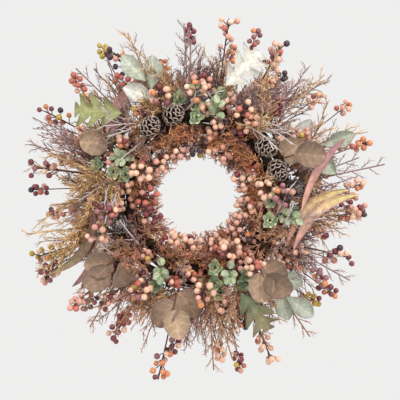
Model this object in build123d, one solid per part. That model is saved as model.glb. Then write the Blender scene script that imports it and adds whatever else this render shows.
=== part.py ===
from build123d import *
import math
import os
import random

import numpy

# A harvest door wreath. Millimetres, +Z up. The front faces -Y and the door stands behind, at +Y.
# The origin is the hook seat: the inside of the top of the hanger loop, where a door hook bears.
# Bearings are clockwise from the top, seen from the front. Hours are those of a clock face.

SEED = 24
DEGREES_PER_HOUR = 30

# Grapevine ring: circular strands laid round a core strand, like a rope
RING_RADIUS = 128.0
LAY_RADIUS = 20.0
VINE_RADIUS = 6.5
CORE_RADIUS = 7.5
OUTER_STRANDS = 7

# Bands of thin vine round the strands, and wire ties that hold the feet of the picks
WRAPS = 10
WRAP_RADIUS = 2.5
WRAP_BEND = 31.0
WRAP_SLANT = 15.0
TIES = 20
TIE_WIRE = 0.7
TIE_GAP = 0.2
FOOT_RADIUS = 1.2
FOOT_LENGTH = 14.0
FOOT_LEANS = (-15, 10, 35, 60, 85, 110, 140, 170)
FOOT_GAP = 0.3
CLEAR_OF_BANDS = 2.0
STEM_BEND = 3.0

# Hanger: a wire loop standing in a wire eye at the back of the ring's top
HANGER_WIRE = 1.25
HANGER_HALF_WIDTH = 12.0
HANGER_HEIGHT = 45.0
HANGER_FOOT_BEND = 4.0
HANGER_TOP_BEND = 11.9
EYE_RADIUS = 5.0
EYE_GAP = 0.3
NECK_LENGTH = 3.0
NECK_RADIUS = 1.8
BAND_GAP = 0.4

# Outline of the dressed wreath
REACH = 306.0
HOLE_RADIUS = 58.0
FRONT = 95.0
BACK = 22.0
CLEARANCE = 0.5
SAMPLE_STEP = 3.0
LEAF_STEP = 4.0
TRIES = 60
SLOTS_TRIED = 14

# Stems: where they bend, how far chance turns them, and how much they droop to the outside.
# Those that lean past FACING_IN droop to the hole instead.
BEND_SHARE = 0.45
LEAN_SPREAD = 22.0
TURN_SPREAD = 0.4
DROOP = 0.35
FACING_IN = 120

# Berry picks: each branch's lean, its length and the angle at which its berries stand off it
BERRY_PICKS = 12
BRANCHES = ((150, 34, 70), (75, 62, 62), (12, 136, 45))
BRANCH_STRETCH = (0.72, 1.08)
PICK_SPREAD = 10.0
BERRIES_PER_BRANCH = 10
BUNCH_START = 0.6
BERRY_RADIUS = 5.0
BERRY_RADIUS_SPREAD = 0.6
BERRY_WIRE = 0.8
BERRY_WIRE_LENGTHS = (4.0, 11.0)
BERRY_ANGLE_SPREAD = 20.0

# Twig sprays: each stem's lean and length, and its side twigs, which shorten towards its tip
TWIG_SPRAYS = 10
TWIG_STEMS = ((5, 146), (30, 122), (165, 30))
STEM_STRETCH = (0.8, 1.04)
SPRAY_SPREAD = 12.0
TWIG_SPACING = 13.0
TWIG_LENGTH = 30.0
TWIG_LONGEST = 1.15
TWIG_LOSS = 0.7
TWIG_ANGLE = 36.0
TWIG_ANGLE_SPREAD = 8.0
TWIG_TURN_SPREAD = 50.0
TWIG_TRIES = 10
TWIG_FOOT = 0.8
TWIG_TIP = 0.4

# Leaves: length, width and thickness of one leaf
VELVET_LEAF = (48.0, 42.0, 1.0)
SILVER_LEAF = (56.0, 31.0, 0.9)
SPRIG_LEAF = (14.0, 12.0, 0.8)
OAK_LEAF = (80.0, 58.0, 0.9)
BLADE = (140.0, 15.0, 1.0)

# Leaf sprays: the stem's lean and length, and the shares of it where leaves grow
VELVET_STEM = (55, 55)
SILVER_STEM = (45, 60)
SPRIG_STEM = (75, 48)
OAK_STEM = (50, 40)
BLADE_STEM = (55, 40)
THREE_LEAVES = (0.35, 0.7, 1)
TWO_LEAVES = (0.6, 1)
ONE_LEAF = (1,)
SPRIG_LEAVES = 10

# Where the leaf sprays stand, in hours, and where their leaves point
VELVET_HOURS = (2.1, 4.3, 6.5, 7.5, 10.3)
SILVER_HOURS = (2.4, 4.4, 11.0)
SPRIG_HOURS = (3.4, 5.2, 7.0, 10.0, 12.0)
OAK_HOURS = (5.2, 10.4, 12.6)
OAK_HEADINGS = (5.0, 9.5, 1.0)
BLADE_HOURS = (3.2, 3.9, 8.8, 9.9)
BLADE_HEADINGS = (1.0, 1.4, 7.0, 1.6)

# How leaves lie: turned off the stem, nearly flat to the front, and each a little differently
LEAF_ANGLE = 35.0
LEAF_ANGLE_SPREAD = 25.0
LEAF_TURN_SPREAD = 40.0
LEAF_HEADING_SPREAD = 15.0
LEAF_TIP_SPREAD = 0.4
LEAF_DIP = 0.2
LEAF_FACING_SPREAD = 0.5
LEAF_FLATTENING = 0.3
LEAF_COVER = 0.72
OAK_LOBES = 7
OAK_LOBE_DEPTH = 0.16
POINTS_PER_LOBE = 6
BLADE_BOW = BLADE[0] / 6

# Cones and pods: length and greatest width, where along them that is, the lean of their stem,
# how far they tilt off it to lie along the ring, and how far they stand off its rise
PINECONE = (40.0, 28.0)
PINECONE_FULLNESS = 0.4
PINECONE_LEAN = 80
PINECONE_TILT = 1.0
PINECONE_HOURS = (1.3, 1.8, 10.6, 11.2)
POD = (34.0, 30.0)
POD_FULLNESS = 0.6
POD_LEAN = 85
POD_TILT = 0.3
POD_HOURS = (2.5, 8.1)
BODY_GAP = 4.0
BODY_SHARES = (0.15, 0.4, 0.7)

BAND_BEND = VINE_RADIUS + BAND_GAP + HANGER_WIRE
BAR_RISE = EYE_RADIUS - 2 * HANGER_WIRE - EYE_GAP
HANGER_INSIDE = HANGER_HEIGHT - HANGER_WIRE
RING_Y = -(LAY_RADIUS + BAND_BEND + NECK_LENGTH + EYE_RADIUS)
RING_Z = -(HANGER_INSIDE + BAR_RISE + RING_RADIUS)
FOOT_AT = LAY_RADIUS + VINE_RADIUS + FOOT_GAP + FOOT_RADIUS
TIE_BEND = FOOT_AT + FOOT_RADIUS + TIE_WIRE + TIE_GAP
BUNDLE_RADIUS = WRAP_BEND + WRAP_RADIUS + FOOT_RADIUS
RISE = BUNDLE_RADIUS - FOOT_AT + CLEAR_OF_BANDS
AXIS = Vector(0, 1, 0)

chance = random.Random(SEED)


def outward(bearing):
    """The direction from the ring's centre at a bearing."""
    angle = math.radians(bearing)
    return Vector(math.sin(angle), 0, math.cos(angle))


def ring_point(bearing, reach, forward=0.0):
    """A point at a bearing and reach from the ring's centre, and so far in front of it."""
    return Vector(0, RING_Y - forward, RING_Z) + outward(bearing) * reach


def away(bearing, lean):
    """The direction off the ring: lean 0 is outward, 90 is to the front and 180 is inward."""
    angle = math.radians(lean)
    return outward(bearing) * math.cos(angle) - AXIS * math.sin(angle)


def along(bearing):
    """The direction that runs clockwise round the ring."""
    return outward(bearing + 90)


def jitter(amount):
    return chance.uniform(-amount, amount)


def band_round_ring(bearing, bend, radius, slant=0.0):
    """A closed hoop round the whole bundle of strands."""
    plane = Plane(ring_point(bearing, RING_RADIUS), x_dir=outward(bearing), z_dir=along(bearing))
    return plane * Rot(slant, 0, 0) * Torus(bend, radius)


def vine_strand(number):
    """One outer strand: a tilted, offset circle, which winds once round the core."""
    tilt = math.asin(LAY_RADIUS / RING_RADIUS)
    bearing = 90 - math.degrees(tilt) + number * 360 / OUTER_STRANDS
    across = outward(bearing)
    rising = outward(bearing - 90) * math.cos(tilt) + AXIS * math.sin(tilt)
    plane = Plane(ring_point(bearing, LAY_RADIUS), x_dir=across, z_dir=across.cross(rising))
    return plane * Torus(RING_RADIUS, VINE_RADIUS)


def core_strand():
    return Plane(ring_point(0, 0), x_dir=Vector(1, 0, 0), z_dir=AXIS) * Torus(RING_RADIUS, CORE_RADIUS)


def hanger_anchor():
    """A wire band round the rear strand, a short twisted neck, and the eye behind it."""
    rear = ring_point(0, RING_RADIUS, -LAY_RADIUS)
    neck = rear + AXIS * BAND_BEND
    eye = neck + AXIS * (NECK_LENGTH + EYE_RADIUS)
    sideways = Vector(1, 0, 0)
    band = Plane(rear, x_dir=AXIS, z_dir=sideways) * Torus(BAND_BEND, HANGER_WIRE)
    ring = Plane(eye, x_dir=AXIS, z_dir=sideways) * Torus(EYE_RADIUS, HANGER_WIRE)
    return band + ring + limb(neck, neck + AXIS * NECK_LENGTH, NECK_RADIUS, NECK_RADIUS)


def hanger_loop():
    """The wire loop, with its straight foot through the eye and its round top at the hook."""
    low = -HANGER_INSIDE
    high = HANGER_WIRE
    corners = [
        (-HANGER_HALF_WIDTH, 0, low),
        (HANGER_HALF_WIDTH, 0, low),
        (HANGER_HALF_WIDTH, 0, high),
        (-HANGER_HALF_WIDTH, 0, high),
    ]
    bends = [HANGER_FOOT_BEND, HANGER_FOOT_BEND, HANGER_TOP_BEND, HANGER_TOP_BEND]
    path = FilletPolyline(*corners, radius=bends, close=True)
    section = Plane(origin=path @ 0, z_dir=path % 0) * Circle(HANGER_WIRE)
    return sweep(section, path=path)


def limb(start, end, start_radius, end_radius):
    """A tapered round rod between two points."""
    plane = Plane(origin=start, z_dir=end - start)
    if math.isclose(start_radius, end_radius):
        return Solid.make_cylinder(start_radius, (end - start).length, plane)
    return Solid.make_cone(start_radius, end_radius, (end - start).length, plane)


def stem_solid(points):
    """A bent wire of one thickness, with a round bend at each corner."""
    path = FilletPolyline(*points, radius=STEM_BEND)
    return sweep(Plane(origin=path @ 0, z_dir=path % 0) * Circle(FOOT_RADIUS), path=path).solid()


def stem_surface(start, direction, angle, radius):
    """Where a wire that leaves a stem at an angle first stands clear of it."""
    slope = math.radians(angle)
    return start + direction * ((FOOT_RADIUS + radius * math.cos(slope)) / math.sin(slope))


def samples(points):
    """Closely spaced points along a line of limbs."""
    found = []
    for start, end in zip(points, points[1:]):
        count = max(2, math.ceil((end - start).length / SAMPLE_STEP) + 1)
        found += [start + (end - start) * (n / (count - 1)) for n in range(count)]
    return found


# Numbers that stand for no stem: that of a piece under test, and that of a piece already placed
LOOSE = -1
UNOWNED = 0


class Stem:
    """A stem's points, from the foot to the tip, and its own number."""

    made = 0

    def __init__(self, points):
        Stem.made += 1
        self.number = Stem.made
        self.points = points


class Space:
    """The places already taken, kept as balls, so that no two pieces cross."""

    def __init__(self):
        self.centres = numpy.empty((0, 3))
        self.radii = numpy.empty(0)
        self.stems = numpy.empty(0)

    def within_outline(self, centres, radius):
        """Clear of the hole, the bundle of strands, the door and the wreath's outer edge."""
        offset = centres - numpy.array([0, RING_Y, RING_Z])
        reach = numpy.hypot(offset[:, 0], offset[:, 2])
        from_core = numpy.hypot(reach - RING_RADIUS, offset[:, 1])
        return (
            reach.min() > HOLE_RADIUS + radius
            and reach.max() < REACH - radius
            and from_core.min() > BUNDLE_RADIUS + radius
            and offset[:, 1].max() < BACK - radius
            and offset[:, 1].min() > radius - FRONT
        )

    def is_free(self, points, radius, stem=None, rooted=False):
        """Whether balls at the points are clear of all but their own stem.

        A root lies against the bundle of strands, so it isn't held to the outline.
        """
        centres = numpy.array([tuple(point) for point in points])
        if not rooted and not self.within_outline(centres, radius):
            return False
        others = self.stems != (stem.number if stem else LOOSE)
        if not others.any():
            return True
        gaps = numpy.linalg.norm(self.centres[others][None] - centres[:, None], axis=2) - self.radii[others]
        return gaps.min() > radius + CLEARANCE

    def take(self, points, radius, stem=None):
        """Keep the places of a piece, which the stem that it grows from may cross."""
        self.centres = numpy.vstack([self.centres, [tuple(point) for point in points]])
        self.radii = numpy.append(self.radii, [radius] * len(points))
        self.stems = numpy.append(self.stems, [stem.number if stem else UNOWNED] * len(points))


class Feet:
    """The slots under the wire ties, each of which holds the foot of one stem."""

    def __init__(self):
        bearings = [(n + 0.5) * 360 / TIES for n in range(TIES)]
        self.free = [(bearing, lean) for bearing in bearings for lean in FOOT_LEANS]

    def nearest(self, bearing, lean):
        def distance(slot):
            turn = abs((slot[0] - bearing + 180) % 360 - 180)
            return turn + abs(slot[1] - lean) / 2

        return sorted(self.free, key=distance)

    def root_of(self, slot):
        """The foot's two ends, and the point where its stem has risen clear of the bands."""
        bearing, lean = slot
        seat = ring_point(bearing, RING_RADIUS) + away(bearing, lean) * FOOT_AT
        half = along(bearing) * (FOOT_LENGTH / 2)
        return [seat - half, seat + half, seat + half + away(bearing, lean) * RISE]


space = Space()
feet = Feet()


def grow(bearing, lean, length):
    """A stem from the nearest slot with a clear way out, as its points, or None."""
    for slot in feet.nearest(bearing, lean)[:SLOTS_TRIED]:
        root = feet.root_of(slot)
        if not space.is_free(samples(root), FOOT_RADIUS, rooted=True):
            continue
        for _ in range(TRIES):
            heading = away(slot[0], slot[1] + jitter(LEAN_SPREAD)) + along(slot[0]) * jitter(TURN_SPREAD)
            bend = root[-1] + heading.normalized() * (length * BEND_SHARE)
            settled = heading + outward(slot[0]) * (DROOP if slot[1] < FACING_IN else -DROOP)
            tip = bend + settled.normalized() * (length * (1 - BEND_SHARE))
            path = [root[-1], bend, tip]
            if space.is_free(samples(path)[1:], FOOT_RADIUS):
                feet.free.remove(slot)
                stem = Stem(root + path[1:])
                space.take(samples(stem.points), FOOT_RADIUS, stem)
                return stem
    return None


def point_on(stem, share):
    """The point at a share of the stem's free length, past its root, and the heading there."""
    start, middle, end = stem.points[-3:]
    if share < BEND_SHARE:
        return start + (middle - start) * (share / BEND_SHARE), (middle - start).normalized()
    past = (share - BEND_SHARE) / (1 - BEND_SHARE)
    return middle + (end - middle) * past, (end - middle).normalized()


def side_heading(heading, angle, turn):
    """A heading that leaves a stem at an angle, turned about it."""
    across = heading.cross(AXIS).normalized()
    other = heading.cross(across)
    sideways = across * math.cos(math.radians(turn)) + other * math.sin(math.radians(turn))
    return heading * math.cos(math.radians(angle)) + sideways * math.sin(math.radians(angle))


def berry_pick(bearing):
    """Three wire branches, each with berries on short wires towards its tip."""
    solids = []
    for lean, length, angle in BRANCHES:
        stem = grow(bearing + jitter(PICK_SPREAD), lean, length * chance.uniform(*BRANCH_STRETCH))
        if stem is None:
            continue
        for _ in range(BERRIES_PER_BRANCH):
            berry = berry_on(stem, angle)
            if berry is None:
                continue
            start, end, centre, radius = berry
            solids.append(limb(start, end, BERRY_WIRE, BERRY_WIRE))
            solids.append(Pos(*centre) * Solid.make_sphere(radius))
        solids.append(stem_solid(stem.points))
    return solids


def berry_on(stem, angle):
    """The wire's two ends, the berry's centre and its radius, where there is room, or None."""
    for _ in range(TRIES):
        start, heading = point_on(stem, chance.uniform(BUNCH_START, 1.0))
        slope = angle + jitter(BERRY_ANGLE_SPREAD)
        direction = side_heading(heading, slope, chance.uniform(0, 360))
        radius = BERRY_RADIUS + jitter(BERRY_RADIUS_SPREAD)
        start = stem_surface(start, direction, slope, BERRY_WIRE)
        end = start + direction * chance.uniform(*BERRY_WIRE_LENGTHS)
        centre = end + direction * radius
        wire = samples([start, end])
        if space.is_free([centre], radius) and space.is_free(wire, BERRY_WIRE, stem):
            space.take([centre], radius)
            space.take(wire, BERRY_WIRE, stem)
            return start, end, centre, radius
    return None


def twig_spray(bearing):
    """Woody stems with thin side twigs on alternate sides, shorter towards the tip."""
    solids = []
    for lean, length in TWIG_STEMS:
        stem = grow(bearing + jitter(SPRAY_SPREAD), lean, length * chance.uniform(*STEM_STRETCH))
        if stem is None:
            continue
        solids.append(stem_solid(stem.points))
        count = int(length / TWIG_SPACING)
        for n in range(1, count):
            share = n / count
            start, heading = point_on(stem, share)
            for _ in range(TWIG_TRIES):
                turn = 180 * (n % 2) + jitter(TWIG_TURN_SPREAD)
                slope = TWIG_ANGLE + jitter(TWIG_ANGLE_SPREAD)
                direction = side_heading(heading, slope, turn)
                foot = stem_surface(start, direction, slope, TWIG_FOOT)
                end = foot + direction * TWIG_LENGTH * (TWIG_LONGEST - TWIG_LOSS * share)
                twig = samples([foot, end])
                if space.is_free(twig, TWIG_FOOT, stem):
                    space.take(twig, TWIG_FOOT, stem)
                    solids.append(limb(foot, end, TWIG_FOOT, TWIG_TIP))
                    break
    return solids


def oval_outline(size):
    length, width, _ = size
    return Pos(length / 2, 0) * Ellipse(length / 2, width / 2)


def pointed_outline(size):
    length, width, _ = size
    upper = ThreePointArc((0, 0), (length / 2, width / 2), (length, 0))
    lower = ThreePointArc((length, 0), (length / 2, -width / 2), (0, 0))
    return make_face([upper, lower])


def blade_outline(size):
    """A crescent: both edges bow the same way, the outer one further."""
    length, width, _ = size
    upper = ThreePointArc((0, 0), (length / 2, BLADE_BOW + width / 2), (length, 0))
    lower = ThreePointArc((length, 0), (length / 2, BLADE_BOW - width / 2), (0, 0))
    return make_face([upper, lower])


def oak_outline(size):
    """An oval whose edge swells into rounded lobes."""
    length, width, _ = size
    steps = OAK_LOBES * POINTS_PER_LOBE
    points = []
    for n in range(steps):
        turn = 2 * math.pi * n / steps
        swell = 1 - OAK_LOBE_DEPTH + OAK_LOBE_DEPTH * math.cos(OAK_LOBES * turn)
        points.append((length / 2 * (1 + swell * math.cos(turn)), width / 2 * swell * math.sin(turn)))
    return make_face(Spline(*points, periodic=True))


def leaf_plane(base, heading, facing):
    """The plane of a leaf that starts at base, with its face turned as near as it can to facing."""
    heading = heading.normalized()
    normal = (facing - heading * facing.dot(heading)).normalized()
    return Plane(base, x_dir=heading, z_dir=normal)


def leaf_points(plane, size, bow=0.0):
    """A grid of points over a leaf, close enough for balls of one step to cover it."""
    length, width, _ = size
    rows = math.ceil(length / LEAF_STEP)
    columns = math.ceil(width / LEAF_STEP)
    found = []
    for row in range(rows + 1):
        share = row / rows
        middle = bow * math.sin(math.pi * share)
        for column in range(columns + 1):
            side = (column / columns - 0.5) * width
            found.append(plane.from_local_coords(Vector(share * length, middle + side, 0)))
    return found


def leaf_on(stem, share, size, outline, turn, heading=None, bow=0.0):
    """A leaf on a stem, lying nearly flat to the front, where there is room for it, or None."""
    for _ in range(TRIES):
        base, way = point_on(stem, share)
        if heading is not None:
            direction = outward(heading + jitter(LEAF_HEADING_SPREAD))
        elif share == 1:
            direction = way + outward(chance.uniform(0, 360)) * LEAF_TIP_SPREAD
        else:
            slope = LEAF_ANGLE + jitter(LEAF_ANGLE_SPREAD)
            direction = side_heading(way, slope, turn + jitter(LEAF_TURN_SPREAD))
        direction = Vector(direction.X, direction.Y * LEAF_FLATTENING + jitter(LEAF_DIP), direction.Z)
        facing = Vector(jitter(LEAF_FACING_SPREAD), -1, jitter(LEAF_FACING_SPREAD))
        plane = leaf_plane(base + direction.normalized() * (FOOT_RADIUS + size[2]), direction, facing)
        points = leaf_points(plane, size, bow)
        if space.is_free(points, LEAF_STEP * LEAF_COVER, stem):
            space.take(points, LEAF_STEP * LEAF_COVER, stem)
            return plane * extrude(outline(size), amount=size[2] / 2, both=True)
    return None


def leaf_spray(bearing, stem_size, size, outline, shares, heading=None, bow=0.0):
    """A stem with leaves at shares of its length, turned to alternate sides."""
    stem = grow(bearing, *stem_size)
    if stem is None:
        return []
    solids = [stem_solid(stem.points)]
    for n, share in enumerate(shares):
        leaf = leaf_on(stem, share, size, outline, 180 * (n % 2), heading, bow)
        if leaf:
            solids.append(leaf.solid())
    return solids


def turned_body(size, fullness):
    """A closed round body on its own axis, widest at a share of its length."""
    length, width = size
    edge = Spline(
        (0, 0),
        (width / 2, length * fullness),
        (0, length),
        tangents=[(1, 0), (-1, 0)],
    )
    profile = make_face([edge, Line((0, length), (0, 0))])
    return revolve(Plane.XZ * profile, axis=Axis.Z)


def body_on_wire(bearing, lean, size, fullness, tilt):
    """A cone or pod with its wire stem."""
    length, width = size
    for slot in feet.nearest(bearing, lean)[:SLOTS_TRIED]:
        root = feet.root_of(slot)
        heading = (away(*slot) + along(slot[0]) * tilt).normalized()
        end = root[-1] + heading * BODY_GAP
        body_line = [end + heading * (length * share) for share in BODY_SHARES]
        if space.is_free(body_line[1:], width / 2) and space.is_free(samples(root), FOOT_RADIUS, rooted=True):
            feet.free.remove(slot)
            space.take(body_line, width / 2)
            space.take(samples(root + [end]), FOOT_RADIUS)
            body = Plane(end, z_dir=heading) * turned_body(size, fullness)
            return [body.solid(), stem_solid(root[:2] + [end])]
    return []


def save(name, solids):
    """Write one node from its solids."""
    if solids:
        export_step(Compound(solids), f"parts/{name}.step")


def numbered(name, places, make):
    """Write one node for each place."""
    for number, place in enumerate(places, 1):
        save(f"{name}_{number}", make(place))


def evenly(count):
    return [360 * n / count for n in range(count)]


def hours(values):
    return [value * DEGREES_PER_HOUR for value in values]


os.makedirs("parts", exist_ok=True)

# The wraps and ties take turns round the ring, and none stands at the hanger
wrap_bearings = [turn + 180 / WRAPS for turn in evenly(WRAPS)]
tie_bearings = [turn + 180 / TIES for turn in evenly(TIES)]
sprig_shares = [(n + 1) / SPRIG_LEAVES for n in range(SPRIG_LEAVES)]

numbered("vine_hoop", range(OUTER_STRANDS), lambda number: [vine_strand(number).solid()])
save("vine_core", [core_strand().solid()])
save(
    "vine_wraps",
    [band_round_ring(at, WRAP_BEND, WRAP_RADIUS, WRAP_SLANT).solid() for at in wrap_bearings],
)
save(
    "wire_ties",
    [band_round_ring(at, TIE_BEND, TIE_WIRE).solid() for at in tie_bearings],
)
save("hanger_anchor", [hanger_anchor().solid()])
save("hanger_loop", [hanger_loop().solid()])

numbered(
    "pinecone",
    hours(PINECONE_HOURS),
    lambda at: body_on_wire(at, PINECONE_LEAN, PINECONE, PINECONE_FULLNESS, PINECONE_TILT),
)
numbered(
    "dried_pod",
    hours(POD_HOURS),
    lambda at: body_on_wire(at, POD_LEAN, POD, POD_FULLNESS, POD_TILT),
)
numbered(
    "oak_leaf",
    zip(hours(OAK_HOURS), hours(OAK_HEADINGS)),
    lambda at: leaf_spray(at[0], OAK_STEM, OAK_LEAF, oak_outline, ONE_LEAF, at[1]),
)
numbered(
    "blade_spray",
    zip(hours(BLADE_HOURS), hours(BLADE_HEADINGS)),
    lambda at: leaf_spray(at[0], BLADE_STEM, BLADE, blade_outline, TWO_LEAVES, at[1], BLADE_BOW),
)
numbered(
    "velvet_leaf_spray",
    hours(VELVET_HOURS),
    lambda at: leaf_spray(at, VELVET_STEM, VELVET_LEAF, oval_outline, THREE_LEAVES),
)
numbered(
    "silver_leaf_spray",
    hours(SILVER_HOURS),
    lambda at: leaf_spray(at, SILVER_STEM, SILVER_LEAF, pointed_outline, THREE_LEAVES),
)
numbered(
    "green_sprig",
    hours(SPRIG_HOURS),
    lambda at: leaf_spray(at, SPRIG_STEM, SPRIG_LEAF, oval_outline, sprig_shares),
)
numbered("berry_pick", evenly(BERRY_PICKS), berry_pick)
numbered("twig_spray", evenly(TWIG_SPRAYS), twig_spray)
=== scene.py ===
import math

import bpy
import numpy as np
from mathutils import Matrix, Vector
from mathutils.kdtree import KDTree


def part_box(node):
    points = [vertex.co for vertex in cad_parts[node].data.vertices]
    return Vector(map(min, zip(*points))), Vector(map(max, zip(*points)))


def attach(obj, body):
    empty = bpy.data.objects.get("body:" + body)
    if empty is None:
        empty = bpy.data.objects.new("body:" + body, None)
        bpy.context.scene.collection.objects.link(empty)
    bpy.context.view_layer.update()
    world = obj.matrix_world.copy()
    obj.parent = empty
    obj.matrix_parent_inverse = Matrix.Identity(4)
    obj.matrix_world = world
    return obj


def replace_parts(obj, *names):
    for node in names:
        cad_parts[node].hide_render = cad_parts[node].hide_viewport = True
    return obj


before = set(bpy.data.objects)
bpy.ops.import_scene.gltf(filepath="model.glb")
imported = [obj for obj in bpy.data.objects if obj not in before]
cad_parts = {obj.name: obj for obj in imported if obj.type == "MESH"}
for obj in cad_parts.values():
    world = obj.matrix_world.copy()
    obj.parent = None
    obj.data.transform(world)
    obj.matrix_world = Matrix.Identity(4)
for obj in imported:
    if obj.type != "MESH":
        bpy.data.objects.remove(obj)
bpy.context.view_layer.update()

SEED = 24
rng = np.random.default_rng(SEED)
MM = 0.001

# The ring, read from the frame
CORE_LOW, CORE_HIGH = (np.array(corner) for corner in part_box("vine_core"))
CENTRE = (CORE_LOW + CORE_HIGH) / 2
CORE_RADIUS = (CORE_HIGH[1] - CORE_LOW[1]) / 2
RING_RADIUS = (CORE_HIGH[0] - CORE_LOW[0]) / 2 - CORE_RADIUS
WRAPS_LOW, WRAPS_HIGH = (np.array(corner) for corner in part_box("vine_wraps"))
BUNDLE_RADIUS = (WRAPS_HIGH[1] - WRAPS_LOW[1]) / 2

# How far the dressing may go from the ring's centre: outward, inward, to the front and to the back
REACH = 306 * MM
HOLE = 58 * MM
FRONT = 96 * MM
BACK = 20 * MM


# Colours, linear RGB
def srgb(code):
    values = np.array([int(code[n : n + 2], 16) for n in (0, 2, 4)]) / 255
    return np.where(values <= 0.04045, values / 12.92, ((values + 0.055) / 1.055) ** 2.4)


def colours(*codes):
    return np.array([srgb(code) for code in codes])


# Berries in peach, dusty pink, coral, orange, burgundy, plum, mustard and mauve, with the share of
# each near the ring and far from it
BERRIES = colours("ECC2A8", "D6A492", "B9695A", "D48C5C", "7C3A42", "43303A", "BBA348", "9C6C70")
ODDS_NEAR = (0.46, 0.20, 0.07, 0.07, 0.08, 0.03, 0.05, 0.04)
ODDS_FAR = (0.24, 0.14, 0.12, 0.13, 0.20, 0.06, 0.06, 0.05)
TWIGS = colours("E0B88E", "B59690", "D8AA8A", "CC9478", "DAB280", "A98A86")
MOSS = colours("D09466", "C2825E", "B57C68", "DCAC80", "A07468")
LILAC = srgb("D2C6C4")
VINE = srgb("4A3226")
VINE_WRAP = srgb("5A3E2C")
VELVET = colours("A88C76", "BC9F84", "8E735F")
SILVER = colours("BCC3AC", "DDDED6", "CBD0C0")
OAK = colours("8E9E78", "A8AA76", "CFCBBF")
OAK_TIPS = colours("B8A87E", "A3A46C", "D6D1C4")
BLADES = [colours("A06C7C", "DFAE96"), colours("D9CD84", "CF9794"), colours("9A6476", "C6C488"),
          colours("DDB08E", "A97280")]
BLADE_EDGE = srgb("B08078")
SPRIG = colours("BAC8AC", "A2B48E", "D2D8AA")
BROWN_STEM = srgb("6B4A38")
GREEN_STEM = srgb("76805A")
BERRY_STEM = srgb("6B4A40")
PICK_STEM = srgb("54352C")
CONE_SCALE = srgb("3C2A24")
CONE_TIP = srgb("B7A598")
POD_SCALE = srgb("5E5352")
POD_TIP = srgb("ABA09D")
STEEL = (0.42, 0.41, 0.39)
TIE_GREEN = (0.05, 0.09, 0.04)


# ---------------------------------------------------------------- mesh building


class Mesh:
    """Gathers points, faces and a tint for each point, and makes one piece of them."""

    def __init__(self):
        self.points, self.tints, self.faces, self.count = [], [], [], 0

    def add(self, points, faces, tint):
        points = np.asarray(points, float).reshape(-1, 3)
        tint = np.broadcast_to(np.asarray(tint, float), (len(points), 3))
        self.points.append(points)
        self.tints.append(tint)
        self.faces.append(np.asarray(faces, int) + self.count)
        self.count += len(points)

    def piece(self, name, material, slot, smooth=True):
        points = np.concatenate(self.points)
        corners = np.concatenate([faces.ravel() for faces in self.faces])
        sizes = np.concatenate([np.full(len(faces), faces.shape[1]) for faces in self.faces])
        mesh = bpy.data.meshes.new(name)
        mesh.vertices.add(len(points))
        mesh.vertices.foreach_set("co", points.astype(np.float32).ravel())
        mesh.loops.add(len(corners))
        mesh.loops.foreach_set("vertex_index", corners.astype(np.int32))
        mesh.polygons.add(len(sizes))
        starts = np.concatenate([[0], np.cumsum(sizes)[:-1]])
        mesh.polygons.foreach_set("loop_start", starts.astype(np.int32))
        mesh.polygons.foreach_set("loop_total", sizes.astype(np.int32))
        mesh.polygons.foreach_set("use_smooth", np.full(len(sizes), smooth))
        tints = np.concatenate(self.tints)
        layer = mesh.color_attributes.new("tint", "FLOAT_COLOR", "POINT")
        layer.data.foreach_set("color", np.c_[tints, np.ones(len(tints))].astype(np.float32).ravel())
        mesh.update(calc_edges=True)
        mesh.validate()
        mesh.materials.append(material)
        piece = bpy.data.objects.new(name, mesh)
        bpy.context.scene.collection.objects.link(piece)
        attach(piece, "wreath")
        return piece


def unit(vectors):
    vectors = np.asarray(vectors, float)
    return vectors / np.maximum(np.linalg.norm(vectors, axis=-1, keepdims=True), 1e-12)


def square_to(directions):
    """A unit vector square to each direction."""
    directions = np.asarray(directions, float)
    helper = np.where(np.abs(directions[..., 1:2]) < 0.9, [0.0, 1.0, 0.0], [1.0, 0.0, 0.0])
    return unit(np.cross(directions, helper))


def tubes(mesh, lines, radii, tint, sides=5):
    """Round tubes along lines: lines is (count, steps, 3) and radii (count, steps)."""
    lines, radii = np.asarray(lines, float), np.asarray(radii, float)
    count, steps, _ = lines.shape
    if not count:
        return
    overall = unit(lines[:, -1] - lines[:, 0])
    across = square_to(overall)[:, None, :]
    along = unit(np.gradient(lines, axis=1))
    across = unit(across - along * (across * along).sum(-1, keepdims=True))
    other = np.cross(along, across)
    turn = np.arange(sides) * 2 * math.pi / sides
    ring = across[:, :, None] * np.cos(turn)[:, None] + other[:, :, None] * np.sin(turn)[:, None]
    points = lines[:, :, None] + ring * radii[:, :, None, None]
    index = np.arange(count * steps * sides).reshape(count, steps, sides)
    near, far = index[:, :-1], index[:, 1:]
    faces = np.stack([near, np.roll(near, -1, 2), np.roll(far, -1, 2), far], -1).reshape(-1, 4)
    tint = np.asarray(tint, float)
    if tint.ndim == 2:
        tint = np.repeat(tint, steps * sides, 0)
    start = mesh.count
    mesh.add(points, faces, tint)
    ends = np.concatenate([index[:, 0, ::-1], index[:, -1]])
    mesh.faces.append(ends + start)


def curl(starts, directions, lengths, steps, bend):
    """Gently curved lines from starts, each bending to one side by a share of its length."""
    starts, directions = np.asarray(starts, float), unit(directions)
    lengths = np.asarray(lengths, float)[:, None, None]
    share = np.linspace(0, 1, steps)[None, :, None]
    side = unit(rng.normal(size=starts.shape))
    side = unit(side - directions * (side * directions).sum(-1, keepdims=True))
    bends = rng.uniform(-bend, bend, (len(starts), 1, 1))
    return starts[:, None] + lengths * (directions[:, None] * share + side[:, None] * bends * share**2)


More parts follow.
